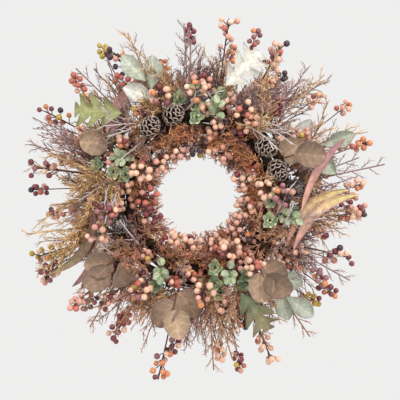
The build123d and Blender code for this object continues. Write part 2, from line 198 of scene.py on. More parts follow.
def solids(node):
    """The separate solids of a CAD node, each as (points, triangles)."""
    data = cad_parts[node].data
    points = np.empty(len(data.vertices) * 3)
    data.vertices.foreach_get("co", points)
    points = points.reshape(-1, 3)
    # vertices at one place belong together, whether or not the mesh is split along its edges
    keys, same = np.unique(np.round(points * 1e6).astype(np.int64), axis=0, return_inverse=True)
    same = same.ravel()
    edges = np.empty(len(data.edges) * 2, dtype=np.int32)
    data.edges.foreach_get("vertices", edges)
    edges = same[edges.reshape(-1, 2)]
    label = np.arange(len(keys))
    while True:
        low = np.minimum(label[edges[:, 0]], label[edges[:, 1]])
        before = label.copy()
        np.minimum.at(label, edges[:, 0], low)
        np.minimum.at(label, edges[:, 1], low)
        label = label[label]
        if (label == before).all():
            break
    places = np.zeros((len(keys), 3))
    places[same] = points
    corners = np.empty(len(data.loops), dtype=np.int32)
    data.loops.foreach_get("vertex_index", corners)
    triangles = same[corners].reshape(-1, 3)
    found = []
    for value in np.unique(label):
        members = np.flatnonzero(label == value)
        number = np.full(len(keys), -1)
        number[members] = np.arange(len(members))
        found.append((places[members], number[triangles[label[triangles[:, 0]] == value]]))
    return found


def nodes_named(start):
    return sorted((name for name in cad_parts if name.startswith(start)), key=lambda n: (len(n), n))


def is_ball(points):
    """The centre and radius of a round solid, or None."""
    centre = (points.min(0) + points.max(0)) / 2
    reach = np.linalg.norm(points - centre, axis=1)
    size = np.ptp(points, axis=0)
    if reach.std() < 0.02 * reach.mean() and size.max() < 1.1 * size.min():
        return centre, reach.mean()
    return None


def rod_ends(points):
    """The two ends and the radius of a straight rod."""
    centre = points.mean(0)
    axis = np.linalg.svd(points - centre, full_matrices=False)[2][0]
    along = (points - centre) @ axis
    off = np.linalg.norm(points - centre - along[:, None] * axis, axis=1)
    return centre + axis * along.min(), centre + axis * along.max(), off.max()


def bearing_of(point):
    offset = np.asarray(point) - CENTRE
    return math.degrees(math.atan2(offset[0], offset[2])) % 360


# ---------------------------------------------------------------- materials


def material(name):
    made = bpy.data.materials.new(name)
    made.use_nodes = True
    nodes, links = made.node_tree.nodes, made.node_tree.links
    return made, nodes, links, nodes["Principled BSDF"]


def noise(nodes, links, scale, detail=4.0):
    """Noise in the object's own coordinates, in features of 1/scale metres."""
    where = nodes.new("ShaderNodeTexCoord")
    texture = nodes.new("ShaderNodeTexNoise")
    texture.inputs["Scale"].default_value = scale
    texture.inputs["Detail"].default_value = detail
    links.new(where.outputs["Object"], texture.inputs["Vector"])
    return texture.outputs["Fac"]


def ramp(nodes, links, source, low, high, start=0.35, end=0.65):
    made = nodes.new("ShaderNodeValToRGB")
    made.color_ramp.elements[0].position = start
    made.color_ramp.elements[1].position = end
    made.color_ramp.elements[0].color = (*low, 1)
    made.color_ramp.elements[1].color = (*high, 1)
    links.new(source, made.inputs["Fac"])
    return made.outputs["Color"]


def uneven_gloss(nodes, links, shader, grain, roughness):
    """Roughness that varies a little about its mean."""
    rough = nodes.new("ShaderNodeMapRange")
    rough.inputs["To Min"].default_value = roughness - 0.1
    rough.inputs["To Max"].default_value = min(roughness + 0.15, 1.0)
    links.new(grain, rough.inputs["Value"])
    links.new(rough.outputs["Result"], shader.inputs["Roughness"])


def tinted(name, variation, scale, roughness, bump, bump_scale, depth, sheen=0.0, coat=0.0,
           subsurface=0.0):
    """A finish that takes its colour from the tint, mottled, with a rough and bumpy surface."""
    made, nodes, links, shader = material(name)
    tint = nodes.new("ShaderNodeAttribute")
    tint.attribute_name = "tint"
    mottle = noise(nodes, links, scale)
    shade = ramp(nodes, links, mottle, [1 - variation] * 3, [1 + variation * 0.6] * 3)
    mix = nodes.new("ShaderNodeMix")
    mix.data_type = "RGBA"
    mix.blend_type = "MULTIPLY"
    mix.inputs["Factor"].default_value = 1.0
    links.new(tint.outputs["Color"], mix.inputs["A"])
    links.new(shade, mix.inputs["B"])
    links.new(mix.outputs["Result"], shader.inputs["Base Color"])
    grain = noise(nodes, links, bump_scale, detail=6)
    uneven_gloss(nodes, links, shader, grain, roughness)
    relief = nodes.new("ShaderNodeBump")
    relief.inputs["Strength"].default_value = bump
    relief.inputs["Distance"].default_value = depth
    links.new(grain, relief.inputs["Height"])
    links.new(relief.outputs["Normal"], shader.inputs["Normal"])
    shader.inputs["Sheen Weight"].default_value = sheen
    shader.inputs["Coat Weight"].default_value = coat
    shader.inputs["Coat Roughness"].default_value = 0.25
    shader.inputs["Subsurface Weight"].default_value = subsurface
    shader.inputs["Subsurface Scale"].default_value = 0.003
    return made


BARK = tinted("vine_bark", 0.45, 90, 0.8, 0.9, 420, 0.001)
BERRY = tinted("berry_lacquer", 0.16, 160, 0.4, 0.12, 900, 0.0002, coat=0.25, subsurface=0.05)
TWIG = tinted("twig_bark", 0.3, 260, 0.72, 0.5, 1500, 0.0003)
FLOCK = tinted("flocked_leaf", 0.16, 220, 0.9, 0.5, 2400, 0.0002, sheen=0.3)
CLOTH_LEAF = tinted("cloth_leaf", 0.22, 110, 0.68, 0.35, 2200, 0.0002, sheen=0.1)
GREEN_LEAF = tinted("moulded_leaf", 0.18, 200, 0.6, 0.3, 1800, 0.0002, subsurface=0.05)
CONE = tinted("cone_scale", 0.3, 300, 0.75, 0.6, 1400, 0.0004)
POD = tinted("dry_pod", 0.3, 180, 0.85, 0.7, 1100, 0.0005)


def wire_material(name, colour, roughness, metallic):
    made, nodes, links, shader = material(name)
    grain = noise(nodes, links, 500)
    colour = np.array(colour)
    links.new(ramp(nodes, links, grain, colour * 0.7, colour * 1.15), shader.inputs["Base Color"])
    uneven_gloss(nodes, links, shader, grain, roughness)
    shader.inputs["Metallic"].default_value = metallic
    return made


def give_finish(node, finish):
    """Gives a CAD node that stays in the scene its material."""
    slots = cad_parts[node].data.materials
    slots.clear()
    slots.append(finish)


for node in ("hanger_loop", "hanger_anchor"):
    give_finish(node, wire_material(node + "_steel", STEEL, 0.35, 1.0))
give_finish("wire_ties", wire_material("florist_green", TIE_GREEN, 0.5, 0.3))


# ---------------------------------------------------------------- the grapevine ring


def vine(name, points, tint, slot, around=420, sides=14, rough=0.07):
    """A bark-covered hoop on the circle that a CAD torus follows."""
    centre = points.mean(0)
    flat = points - centre
    normal = np.linalg.svd(flat, full_matrices=False)[2][2]
    height = flat @ normal
    thick = np.ptp(height) / 2
    reach = np.linalg.norm(flat - height[:, None] * normal, axis=1)
    radius = (reach.max() + reach.min()) / 2
    first = square_to(normal)
    second = np.cross(normal, first)
    turn = np.linspace(0, 2 * math.pi, around, endpoint=False)
    section = np.linspace(0, 2 * math.pi, sides, endpoint=False)
    phases = rng.uniform(0, 2 * math.pi, 8)
    lumps = sum(np.sin(turn * k + phases[n]) / (n + 1.5) for n, k in enumerate((5, 11, 23, 41)))
    ridges = np.zeros((around, sides))
    for n, k in enumerate((3, 5, 7)):
        ridges += np.sin(section[None] * k + turn[:, None] * (2 + n) + phases[4 + n]) / (n + 2)
    knots = np.zeros(around)
    for place in rng.uniform(0, 2 * math.pi, 6):
        away = np.abs((turn - place + math.pi) % (2 * math.pi) - math.pi)
        knots += np.exp(-((away * radius / (5 * MM)) ** 2))
    swell = 0.90 + rough * 0.35 * lumps[:, None] + rough * ridges + 0.14 * np.minimum(knots, 1)[:, None]
    swell = np.minimum(swell, 1.02) * thick
    outwards = first * np.cos(turn)[:, None] + second * np.sin(turn)[:, None]
    points = (
        centre
        + outwards[:, None] * (radius + swell * np.cos(section))[..., None]
        + normal * (swell * np.sin(section))[..., None]
    )
    index = np.arange(around * sides).reshape(around, sides)
    following = np.roll(index, -1, 0)
    faces = np.stack([index, following, np.roll(following, -1, 1), np.roll(index, -1, 1)], -1)
    # Random tone round the hoop, plus painted shade: the bark is darker in the grooves and lighter on the
    # ridges of its own relief
    shade = 0.75 + 0.5 * rng.random((around, 1)) * np.ones((1, sides)) + 0.2 * ridges
    mesh = Mesh()
    mesh.add(points, faces.reshape(-1, 4), (np.array(tint) * shade[..., None]).reshape(-1, 3))
    return mesh.piece(name, BARK, slot)


for number, node in enumerate(nodes_named("vine_hoop") + ["vine_core"]):
    tone = VINE * (0.8 + 0.08 * number)
    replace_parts(vine(f"{node}_bark", solids(node)[0][0], tone, "vine"), node)

wraps = [
    vine(f"vine_wrap_{n}", points, VINE_WRAP, "vine_wrap", around=140, sides=10)
    for n, (points, _) in enumerate(solids("vine_wraps"), 1)
]
for wrap in wraps:
    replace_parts(wrap, "vine_wraps")


# ---------------------------------------------------------------- leaves

# Points of the leaves, cones and pods, which the filler berries and the heather keep clear of
taken = []


def round_edge(u):
    return np.sqrt(np.clip(1 - (2 * u - 1) ** 2, 0, 1)) * (1 + 0.03 * np.sin(u * 23))


def spoon_edge(u):
    """Widest a little past the middle, with a blunt tip."""
    return np.sin(math.pi * np.clip(u, 0, 1) ** 1.3) ** 0.75


def oak_edge(u):
    """Three lobes a side, deeply cut, and one at the tip."""
    lobes = 0.5 - 0.5 * np.cos(2 * math.pi * 3.5 * u)
    return np.clip(1 - np.abs(2 * u - 1) ** 3, 0, 1) ** 0.5 * (0.24 + 0.76 * lobes**0.6)


def blade_edge(u):
    return np.clip(1 - np.abs(2 * u - 1) ** 2.2, 0, 1) ** 0.8


LEAF_THICKNESS = 0.45 * MM
GROOVE = 0.35 * MM
RIPPLE = 0.16 * MM


def leaf(mesh, base, along, normal, length, width, edge, root_tint, tip_tint, bow=0.0, cup=0.16,
         wave=0.05, rows=30, columns=13, sweep=0.0, droop=(-0.08, 0.14), veins=7, edge_tint=None):
    """A thin curved leaf with a midrib, side veins and a wavy edge, closed all round."""
    u = np.linspace(0.0, 1.0, rows)[:, None] * np.ones(columns)
    v = np.linspace(-1.0, 1.0, columns)[None] * np.ones((rows, 1))
    half = np.maximum(edge(u), 0.02) * width / 2
    phase = rng.uniform(0, 2 * math.pi, 3)
    lift = cup * half * v**2
    lift += wave * half * np.sin(u * 14 + phase[0]) * v**2 * np.sign(v)
    lift -= rng.uniform(*droop) * length * u**2
    lift -= GROOVE * np.exp(-((v / 0.10) ** 2))
    lift += RIPPLE * np.cos((u * length / MM) * 1.1 + np.abs(v) * 5) * (np.abs(v) > 0.12)
    sideways = half * v + bow * 4 * u * (1 - u)
    forward = u * length + sweep * np.abs(v) * half * (1 - u**4)
    across = np.cross(normal, along)
    middle = base + along * forward[..., None] + across * sideways[..., None] + normal * lift[..., None]
    fade = np.clip(u + 0.25 * np.abs(v) * np.sin(phase[1] + u * 5), 0, 1)[..., None]
    tint = root_tint * (1 - fade) + tip_tint * fade
    rim_share = np.abs(v[..., None]) ** 3
    if edge_tint is None:
        tint = tint * (1 - 0.3 * rim_share)
    else:
        tint = tint * (1 - rim_share) + edge_tint * rim_share
    side_vein = np.exp(-((((u - 0.25 * np.abs(v)) * veins % 1 - 0.5) / 0.12) ** 2))
    vein = side_vein + 1.5 * np.exp(-((v / 0.09) ** 2))
    tint = tint * (0.92 + 0.22 * np.minimum(vein, 1.5)[..., None])
    index = np.arange(rows * columns).reshape(rows, columns)
    face = np.stack([index[:-1, :-1], index[:-1, 1:], index[1:, 1:], index[1:, :-1]], -1).reshape(-1, 4)
    below = face[:, ::-1] + rows * columns
    rim = np.concatenate([index[0, :-1], index[:-1, -1], index[-1, :0:-1], index[:0:-1, 0]])
    ahead = np.roll(rim, -1)
    side = np.stack([ahead, rim, rim + rows * columns, ahead + rows * columns], -1)
    offset = normal * LEAF_THICKNESS / 2
    points = np.concatenate([(middle + offset).reshape(-1, 3), (middle - offset).reshape(-1, 3)])
    # Painted shade: the underside is the top's tint made 15% darker
    tints = np.concatenate([tint.reshape(-1, 3), tint.reshape(-1, 3) * 0.85])
    mesh.add(points, np.concatenate([face, below, side]), np.clip(tints, 0, 1))
    taken.append(middle[::2, ::2].reshape(-1, 3))


PLATE = 1.5 * MM


def thinness(points):
    """A solid's extent across its flattest direction, and its axes, longest first."""
    flat = points - points.mean(0)
    axes = np.linalg.svd(flat, full_matrices=False)[2]
    return np.ptp(flat @ axes[2]), axes


def plates_and_stems(node):
    """A leafy node's flat plates, each as (base, along, normal, length, width, bow), and the rest."""
    measured = [(part, *thinness(part[0])) for part in solids(node)]
    rest = [part for part, thin, _ in measured if thin > PLATE]
    stem = np.concatenate([points for points, _ in rest])
    plates = []
    for (points, _), thin, axes in measured:
        if thin > PLATE:
            continue
        normal = axes[2] if axes[2][1] < 0 else -axes[2]
        along = axes[0]
        place = (points - points.mean(0)) @ along
        first, last = points[place.argmin()], points[place.argmax()]
        if np.linalg.norm(stem - first, axis=1).min() > np.linalg.norm(stem - last, axis=1).min():
            first, last, along = last, first, -along
        across = np.cross(normal, along)
        bow = float((points @ across).mean() - (first + last) @ across / 2)
        base = (first + last) / 2 - along * np.ptp(place) / 2
        plates.append((base, along, normal, np.ptp(place), np.ptp(points @ across), bow))
    return plates, rest


def leafy_node(node, name, finish, slot, edge, roots, tips, stem_tint, width=None, bowing=0.0, **shape):
    """Curved leaves in place of a node's flat plates, on the node's own stem."""
    leaves, stems = Mesh(), Mesh()
    plates, rest = plates_and_stems(node)
    for base, along, normal, length, broad, bow in plates:
        pick = rng.integers(len(roots))
        tone = rng.uniform(0.68, 1.12)
        roll = rng.uniform(-0.4, 0.4)
        normal = normal * math.cos(roll) + np.cross(along, normal) * math.sin(roll)
        leaf(leaves, base, along, normal, length, width or broad, edge, roots[pick] * tone,
             tips[pick] * tone, bow=bow * bowing, **shape)
    for points, triangles in rest:
        stems.add(points, triangles, stem_tint)
    if leaves.count:
        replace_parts(leaves.piece(name, finish, slot), node)
    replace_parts(stems.piece(name + "_stem", TWIG, slot), node)


BLADE_WIDTH = 18 * MM

for number, node in enumerate(nodes_named("velvet_leaf_spray"), 1):
    leafy_node(node, f"velvet_leaves_{number}", FLOCK, "velvet_leaf", round_edge, VELVET, VELVET[::-1],
               BROWN_STEM, rows=34, columns=21, cup=0.6, wave=0.06, droop=(-0.05, 0.35), veins=4)
for number, node in enumerate(nodes_named("silver_leaf_spray"), 1):
    leafy_node(node, f"silver_leaves_{number}", CLOTH_LEAF, "silver_leaf", spoon_edge, SILVER, SILVER[::-1],
               GREEN_STEM, rows=40, columns=15, cup=0.4, droop=(-0.05, 0.3))
for number, node in enumerate(nodes_named("oak_leaf"), 1):
    leafy_node(node, f"oak_leaf_{number}_cloth", CLOTH_LEAF, "oak_leaf", oak_edge, OAK[number - 1 : number],
               OAK_TIPS[number - 1 : number], GREEN_STEM, rows=97, columns=21, cup=0.3, wave=0.2,
               sweep=0.75, veins=3.5)
for number, node in enumerate(nodes_named("blade_spray"), 1):
    root, tip = BLADES[(number - 1) % len(BLADES)]
    leafy_node(node, f"blades_{number}", CLOTH_LEAF, "blade", blade_edge, [root, tip], [tip, root],
               BROWN_STEM, width=BLADE_WIDTH, bowing=1.5, rows=70, columns=11, cup=0.5, veins=1,
               edge_tint=BLADE_EDGE)
for number, node in enumerate(nodes_named("green_sprig"), 1):
    leafy_node(node, f"sprig_leaves_{number}", GREEN_LEAF, "green_leaf", round_edge, SPRIG, SPRIG[::-1],
               GREEN_STEM, rows=14, columns=9, cup=0.3)


# ---------------------------------------------------------------- cones and pods


def turned(points, axis):
    """Points whose Z is turned to lie along an axis."""
    axis = unit(axis)
    first = square_to(axis)
    return points @ np.stack([first, np.cross(axis, first), axis])


def body_axis(node):
    """A cone's or pod's foot, axis, length and width, and its stem's solids."""
    parts = solids(node)
    body = max(parts, key=lambda part: np.ptp(part[0], axis=0).min())
    rest = [part for part in parts if part is not body]
    stem = np.concatenate([points for points, _ in rest])
    tip = stem[np.linalg.norm(stem - body[0].mean(0), axis=1).argmin()]
    axis = unit(body[0].mean(0) - tip)
    place = (body[0] - tip) @ axis
    off = np.linalg.norm(body[0] - tip - place[:, None] * axis, axis=1)
    taken.append(body[0])
    return tip + axis * place.min(), axis, np.ptp(place), 2 * off.max(), rest


def revolve(mesh, foot, axis, profile, tint, around=28):
    """A turned body from (height, radius) pairs."""
    profile = np.array(profile)
    turn = np.arange(around) * 2 * math.pi / around
    body = np.stack([
        profile[:, 1:] * np.cos(turn),
        profile[:, 1:] * np.sin(turn),
        profile[:, :1] * np.ones(around),
    ], -1).reshape(-1, 3)
    index = np.arange(len(body)).reshape(len(profile), around)
    quads = np.stack([index[:-1], np.roll(index[:-1], -1, 1), np.roll(index[1:], -1, 1), index[1:]], -1)
    start = mesh.count
    mesh.add(foot + turned(body, axis), quads.reshape(-1, 4), tint)
    mesh.faces.append(np.stack([index[0, ::-1], index[-1]]) + start)


def scale(mesh, root, out, up, size, tint, tip_tint, rise=0.42, slim=0.42):
    """One woody scale: a tongue that thickens to a pale raised tip."""
    steps, columns = 7, 5
    u = np.linspace(0, 1, steps)[:, None] * np.ones(columns)
    v = np.linspace(-1, 1, columns)[None] * np.ones((steps, 1))
    across = np.cross(up, out)
    half = size * slim * (0.35 + 0.65 * np.sin(u * 2.2) ** 0.8) * (1 - 0.25 * (u > 0.9))
    middle = root + out * (u * size)[..., None] + across * (v * half)[..., None]
    middle = middle + up * (size * (rise * u**2 - 0.12 * v**2))[..., None]
    thick = (0.06 + 0.13 * u**3) * size
    points = np.concatenate([(middle + up * thick[..., None] / 2).reshape(-1, 3),
                             (middle - up * thick[..., None] / 2).reshape(-1, 3)])
    index = np.arange(steps * columns).reshape(steps, columns)
    face = np.stack([index[:-1, :-1], index[1:, :-1], index[1:, 1:], index[:-1, 1:]], -1).reshape(-1, 4)
    rim = np.concatenate([index[0, :-1], index[:-1, -1], index[-1, :0:-1], index[:0:-1, 0]])
    ahead = np.roll(rim, -1)
    side = np.stack([rim, ahead, ahead + steps * columns, rim + steps * columns], -1)
    pale = np.maximum(u**9, 0.2 * np.abs(v) ** 8)[..., None]
    colour = tint * (1 - pale) + tip_tint * pale
    mesh.add(points, np.concatenate([face, face[:, ::-1] + steps * columns, side]),
             np.concatenate([colour.reshape(-1, 3)] * 2))


GOLDEN = math.pi * (3 - math.sqrt(5))


def scaly(node, name, finish, slot, count, tint, tip_tint, size, rise, slim, untidy):
    """A cone or pod: a core painted dark as shade between the scales, with scales round it on the golden
    spiral.
    """
    foot, axis, length, width, rest = body_axis(node)
    mesh = Mesh()
    heights = np.linspace(0, 1, 14)
    girth = np.sin(math.pi * np.clip(heights * 0.86 + 0.09, 0, 1)) ** 0.8
    # The core shows only between the scales and is painted dark there as shade
    revolve(mesh, foot, axis, np.c_[heights * length * 0.94, girth * width * 0.29], tint * 0.4)
    first = square_to(axis)
    second = np.cross(axis, first)
    for n in range(count):
        share = (n + 0.5) / count
        sideways = first * math.cos(n * GOLDEN) + second * math.sin(n * GOLDEN)
        fullness = math.sin(math.pi * min(share * 0.82 + 0.12, 1)) ** 0.8
        lean = 0.2 + 0.95 * share**1.3 + rng.normal(0, untidy)
        out = unit(sideways * math.cos(lean) + axis * math.sin(lean))
        up = unit(axis * math.cos(lean) - sideways * math.sin(lean))
        root = foot + axis * (share * length * 0.84) + sideways * fullness * width * 0.20
        reach = width * size * (0.55 + 0.45 * fullness)
        scale(mesh, root, out, up, reach, tint * rng.uniform(0.7, 1.5), tip_tint, rise, slim)
    for points, triangles in rest:
        mesh.add(points, triangles, BROWN_STEM)
    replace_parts(mesh.piece(name, finish, slot), node)


for number, node in enumerate(nodes_named("pinecone"), 1):
    scaly(node, f"pinecone_{number}_scales", CONE, "pinecone", 54, CONE_SCALE, CONE_TIP,
          size=0.36, rise=0.16, slim=0.5, untidy=0.06)
for number, node in enumerate(nodes_named("dried_pod"), 1):
    scaly(node, f"dried_pod_{number}_husk", POD, "pod", 110, POD_SCALE, POD_TIP,
          size=0.30, rise=0.8, slim=0.24, untidy=0.35)


# ---------------------------------------------------------------- berries


def ball(rings=12, around=16):
    """A unit ball, with its poles on Z, as points and quads."""
    down = np.linspace(0, math.pi, rings + 1)[1:-1]
    turn = np.arange(around) * 2 * math.pi / around
    body = np.stack([
        np.sin(down)[:, None] * np.cos(turn),
        np.sin(down)[:, None] * np.sin(turn),
        np.cos(down)[:, None] * np.ones(around),
    ], -1).reshape(-1, 3)
    index = np.arange(len(body)).reshape(rings - 1, around)
    quads = np.stack([index[:-1], index[1:], np.roll(index[1:], -1, 1), np.roll(index[:-1], -1, 1)], -1)
    top, bottom = len(body), len(body) + 1
    caps = [np.stack([np.full(around, top), index[0], np.roll(index[0], -1)], -1)]
    caps.append(np.stack([np.full(around, bottom), np.roll(index[-1], -1), index[-1]], -1))
    return np.vstack([body, [[0, 0, 1], [0, 0, -1]]]), quads.reshape(-1, 4), np.vstack(caps)


BALL = ball()


def berry(mesh, centre, radius, axis, colour):
    """A slightly uneven berry: dimpled where its wire goes in, with a dark tip opposite."""
    points, quads, caps = BALL
    height = points[:, 2]
    phase = rng.uniform(0, 2 * math.pi, 3)
    uneven = 0.025 * np.sin(points @ rng.normal(size=3) * 2.5 + phase[0])
    dimple = 0.22 * np.exp(-(1 + height) / 0.05)
    tip = 0.10 * np.exp(-((1 - height) / 0.012))
    reach = radius * (0.985 + uneven - dimple + tip)
    # Painted shade: each berry is darker towards its wire end, where it sits in the bunch, and lighter
    # towards the tip opposite
    shade = np.ones((len(points), 3)) * (0.9 + 0.18 * (height[:, None] + 1) / 2)
    shade *= np.where(height > 0.975, 0.25, 1.0)[:, None]
    blush = 0.5 + 0.5 * np.sin(points @ rng.normal(size=3) * 1.3 + phase[1])
    tint = colour * shade * (1 + blush[:, None] * np.array([0.08, -0.05, -0.08]))
    start = mesh.count
    mesh.add(centre + turned(points * reach[:, None], axis), quads, np.clip(tint, 0, 1))
    mesh.faces.append(caps + start)


# How far out the darker bunches start, and how near berries are to count as one bunch
FAR = 195 * MM
BUNCH_SPREAD = 34 * MM


def family_at(place):
    """A bunch's colour: mostly peach by the ring, and darker further out."""
    offset = place - CENTRE
    odds = ODDS_FAR if math.hypot(offset[0], offset[2]) > FAR else ODDS_NEAR
    return rng.choice(len(BERRIES), p=odds)


def shade_from(family):
    """A berry's colour: mostly that of its bunch."""
    pick = family if rng.random() < 0.66 else rng.choice(len(BERRIES), p=ODDS_FAR)
    return BERRIES[pick] * rng.uniform(0.85, 1.15)


berry_centres = []

for number, node in enumerate(nodes_named("berry_pick"), 1):
    berries, wires = Mesh(), Mesh()
    parts = solids(node)
    ends = []
    for points, _ in parts:
        if not is_ball(points):
            ends += rod_ends(points)[:2]
    ends = np.array(ends)
    families = []
    for points, _ in parts:
        found = is_ball(points)
        if not found:
            continue
        centre, radius = found
        near = [family for place, family in families if np.linalg.norm(place - centre) < BUNCH_SPREAD]
        family = near[0] if near else family_at(centre)
        families.append((centre, family))
        wire = ends[np.linalg.norm(ends - centre, axis=1).argmin()]
        berry(berries, centre, radius, centre - wire, shade_from(family))
        berry_centres.append(centre)
    stem = PICK_STEM * rng.uniform(0.8, 1.3)
    for points, triangles in parts:
        if not is_ball(points):
            wires.add(points, triangles, stem)
    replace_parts(berries.piece(f"berries_{number}", BERRY, "berry"), node)
    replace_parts(wires.piece(f"berry_stems_{number}", TWIG, "berry"), node)


def direction_at(bearing):
    angle = np.radians(bearing)
    return np.stack([np.sin(angle), np.zeros_like(angle), np.cos(angle)], -1)


def way_off(bearing, lean):
    """The direction off the ring: lean 0 is outward, 90 is to the front and 180 is inward."""
    slope = np.radians(lean)[..., None]
    return direction_at(bearing) * np.cos(slope) + np.array([0.0, -1.0, 0.0]) * np.sin(slope)


def off_ring(bearing, lean, height):
    """A point at a height off the core of the ring."""
    height = np.asarray(height)[..., None]
    return CENTRE + direction_at(bearing) * RING_RADIUS + way_off(bearing, lean) * height


def clear_of(places, points, gap):
    return np.linalg.norm(places[None] - points[:, None], axis=2).min(1) > gap


# More bunches over the front of the ring and out among the sprays. Each row: bunches, their lean,
# how high their tips stand off the ring's core, and the most berries in a bunch
BUNCHES = (
    (22, (35, 80), (54, 68), 10),
    (20, (82, 105), (48, 60), 8),
    (10, (118, 150), (46, 54), 6),
    (26, (-12, 45), (70, 110), 9),
    (36, (-12, 24), (110, 180), 9),
)
BUNCH_GROUPS = 9
BERRY_STEP = 3.6 * MM
BERRY_RADII = (4.3 * MM, 5.4 * MM)
STALK_STEPS = 7
EDGE_ROOM = 6 * MM
BERRY_GAP = 9 * MM
LEAF_GAP = 6.5 * MM
bunch_meshes = [(Mesh(), Mesh()) for _ in range(BUNCH_GROUPS)]
solid_points = np.concatenate(taken)
for bunches, leans, heights, most in BUNCHES:
    for n in range(bunches):
        bearing = np.array((n + rng.random()) * 360 / bunches)
        lean = np.array(rng.uniform(*leans))
        way = unit(way_off(bearing, lean) + direction_at(bearing + 90) * rng.normal(0, 0.25))
        foot = off_ring(bearing, lean, BUNDLE_RADIUS)
        length = rng.uniform(*heights) * MM - BUNDLE_RADIUS
        stalk = curl(foot[None], way[None], [length], STALK_STEPS, 0.25)[0]
        tip = stalk[-1]
        way = unit(tip - stalk[-2])
        side = square_to(way)
        other = np.cross(way, side)
        count = np.arange(most)
        radii = rng.uniform(*BERRY_RADII, most)
        turn = count * GOLDEN + rng.uniform(0, 6)
        spread = np.where(count == 0, 0.3, 1.0)[:, None] * (radii + 2.2 * MM)[:, None]
        centres = (tip - way * (count * BERRY_STEP)[:, None]
                   + (side * np.cos(turn)[:, None] + other * np.sin(turn)[:, None]) * spread)
        offset = centres - CENTRE
        reach = np.hypot(offset[:, 0], offset[:, 2])
        fits = (reach > HOLE + EDGE_ROOM) & (reach < REACH - EDGE_ROOM) & (offset[:, 1] > 8 * MM - FRONT)
        fits &= clear_of(np.array(berry_centres), centres, BERRY_GAP)
        fits &= clear_of(solid_points, centres, LEAF_GAP)
        if fits.sum() < 4 or not clear_of(solid_points, stalk[1:], 3 * MM).all():
            continue
        family = family_at(tip)
        berries, wires = bunch_meshes[int(bearing * BUNCH_GROUPS // 360)]
        for centre, radius in zip(centres[fits], radii[fits]):
            berry(berries, centre, radius, centre - (tip - way * 12 * MM), shade_from(family))
            berry_centres.append(centre)
        joints = tip - way * (count[fits] * BERRY_STEP + 3 * MM)[:, None]
        side_wires = np.stack([joints, centres[fits]], 1)
        tubes(wires, side_wires, np.full((fits.sum(), 2), 0.6 * MM), BERRY_STEM, 5)
        stalk[-1] = tip - way * count[fits].min() * BERRY_STEP
        tubes(wires, stalk[None], np.full((1, STALK_STEPS), 0.9 * MM), BERRY_STEM, 6)
for number, (berries, wires) in enumerate(bunch_meshes, 1):
    if berries.count:
        berries.piece(f"bunch_{number}", BERRY, "berry")
        wires.piece(f"bunch_{number}_stems", TWIG, "berry")


# Rosettes of small green leaves beside the sprigs
ROSETTE_HOURS = (3.1, 3.5, 5.1, 5.6, 6.9, 8.4, 9.4, 10.1, 11.5, 12.1, 12.6)
ROSETTES_EACH = 3
ROSETTE_LEAVES = 13
ROSETTE_STALK = 0.8 * MM
for number, hour in enumerate(ROSETTE_HOURS, 1):
    mesh = Mesh()
    for n in range(ROSETTES_EACH):
        bearing = np.array(hour * 30 + rng.uniform(-5, 5))
        lean = np.array(45.0 + 25 * n + rng.uniform(-8, 8))
        axis = unit(way_off(bearing, lean) + np.array([0.0, -0.8, 0.0]) + 0.3 * rng.normal(size=3))
        heart = off_ring(bearing, lean, BUNDLE_RADIUS + rng.uniform(12, 22) * MM)
        if not clear_of(solid_points, heart[None], 12 * MM)[0]:
            continue
        first = square_to(axis)
        second = np.cross(axis, first)
        for k in range(ROSETTE_LEAVES):
            share = k / ROSETTE_LEAVES
            sideways = first * math.cos(k * GOLDEN) + second * math.sin(k * GOLDEN)
            tilt = math.radians(10 + 60 * share)
            out = unit(sideways * math.cos(tilt) + axis * math.sin(tilt))
            up = unit(axis * math.cos(tilt) - sideways * math.sin(tilt))
            tone = SPRIG[rng.integers(len(SPRIG))] * rng.uniform(0.85, 1.15)
            foot = heart + sideways * 2 * MM + axis * share * 5 * MM
            length, width = (14 - 6 * share) * MM, (12 - 5 * share) * MM
            leaf(mesh, foot, out, up, length, width, round_edge, tone * 0.9, np.clip(tone * 1.35, 0, 1),
                 cup=0.5, rows=10, columns=7, droop=(-0.3, 0.0))
        root = off_ring(bearing, lean, BUNDLE_RADIUS)
        stalk = np.stack([root, (root + heart) / 2, heart])[None]
        tubes(mesh, stalk, np.full((1, 3), ROSETTE_STALK), GREEN_STEM, 5)
    if mesh.count:
        mesh.piece(f"green_rosettes_{number}", GREEN_LEAF, "green_leaf")


# ---------------------------------------------------------------- twigs and heather


def within(points):
    """Which points stay inside the wreath's outline."""
    offset = points - CENTRE
    reach = np.hypot(offset[..., 0], offset[..., 2])
    return (reach < REACH - 2 * MM) & (reach > HOLE) & (offset[..., 1] < BACK) & (offset[..., 1] > -FRONT)


def tree_of(points):
    tree = KDTree(len(points))
    for number, point in enumerate(points):
        tree.insert(point, number)
    tree.balance()
    return tree


NEAR_LEAVES = tree_of(np.concatenate(taken))
NEAR_BERRIES = tree_of(berry_centres)


BERRY_ROOM = 3.5 * MM


def free(lines, gap):
    """Which lines keep a gap from the leaves, cones, pods and berries, past their first point."""
    ends = lines[:, 1:]
    from_leaves = np.array([NEAR_LEAVES.find(spot)[2] for spot in ends.reshape(-1, 3)])
    from_berries = np.array([NEAR_BERRIES.find(spot)[2] for spot in ends.reshape(-1, 3)])
    far = (from_leaves > gap) & (from_berries > gap + BERRY_ROOM)
    return far.reshape(ends.shape[:2]).all(1)


